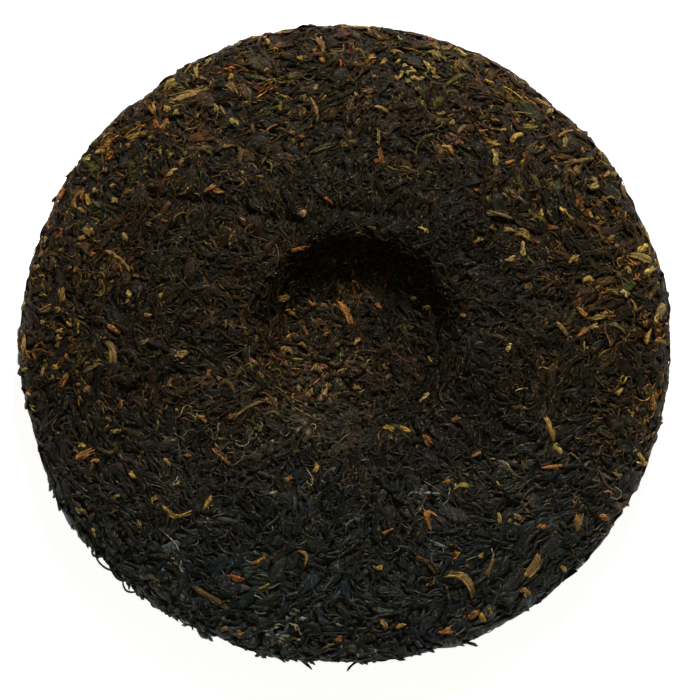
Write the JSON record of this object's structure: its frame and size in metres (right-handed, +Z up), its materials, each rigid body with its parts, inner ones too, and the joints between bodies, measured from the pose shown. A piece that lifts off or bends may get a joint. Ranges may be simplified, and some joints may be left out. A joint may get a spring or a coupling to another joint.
{
  "type": "pu erh tea cake",
  "caption": "Round cake of pressed ripened tea leaves, domed at the rim, lying with the central knot hollow facing up.",
  "frame": {"origin": "middle of the base, on the surface that the cake rests on", "axes": "+Z up through the thickness, out of the face with the hollow, and +X to the right as the picture shows the cake"},
  "size_m": [0.203, 0.199, 0.0256],
  "materials": {
    "pressed_tea": "dry pressed leaf, dark brown to black with a faint sheen, and a few golden to orange buds"
  },
  "bodies": {
    "root": {"tea_cake": "pressed_tea"}
  },
  "joints": []
}
